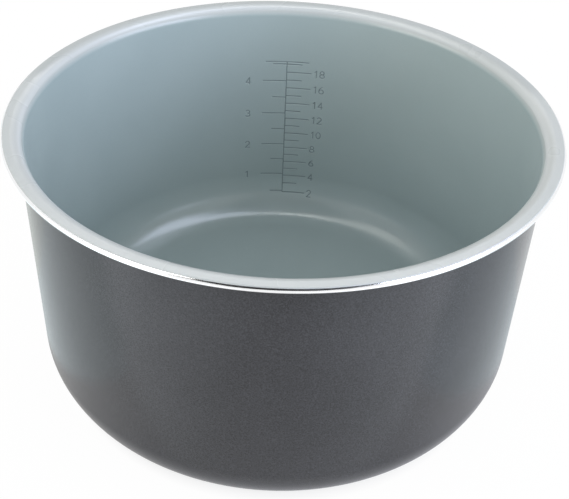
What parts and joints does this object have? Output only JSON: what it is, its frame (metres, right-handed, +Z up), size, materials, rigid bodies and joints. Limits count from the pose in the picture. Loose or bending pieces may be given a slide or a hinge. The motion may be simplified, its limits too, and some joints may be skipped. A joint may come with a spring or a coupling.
{
  "type": "pressure cooker inner pot",
  "caption": "Round, deep cooking pot with a rolled-out flange, ceramic-lined inside with an engraved level scale, dark coat outside; drops into a countertop pressure cooker.",
  "frame": {"origin": "centre of the bare contact face under the base, where the pot stands", "axes": "+Z up along the pot's axis; the level scale is on the inside of the +Y wall"},
  "size_m": [0.26, 0.26, 0.1415],
  "materials": {
    "bare_aluminium": "polished",
    "ceramic_lining": "satin",
    "dark_coat": "satin"
  },
  "bodies": {
    "root": {"pot_shell": "bare_aluminium", "inner_lining": "ceramic_lining", "outer_coat": "dark_coat"}
  },
  "joints": []
}
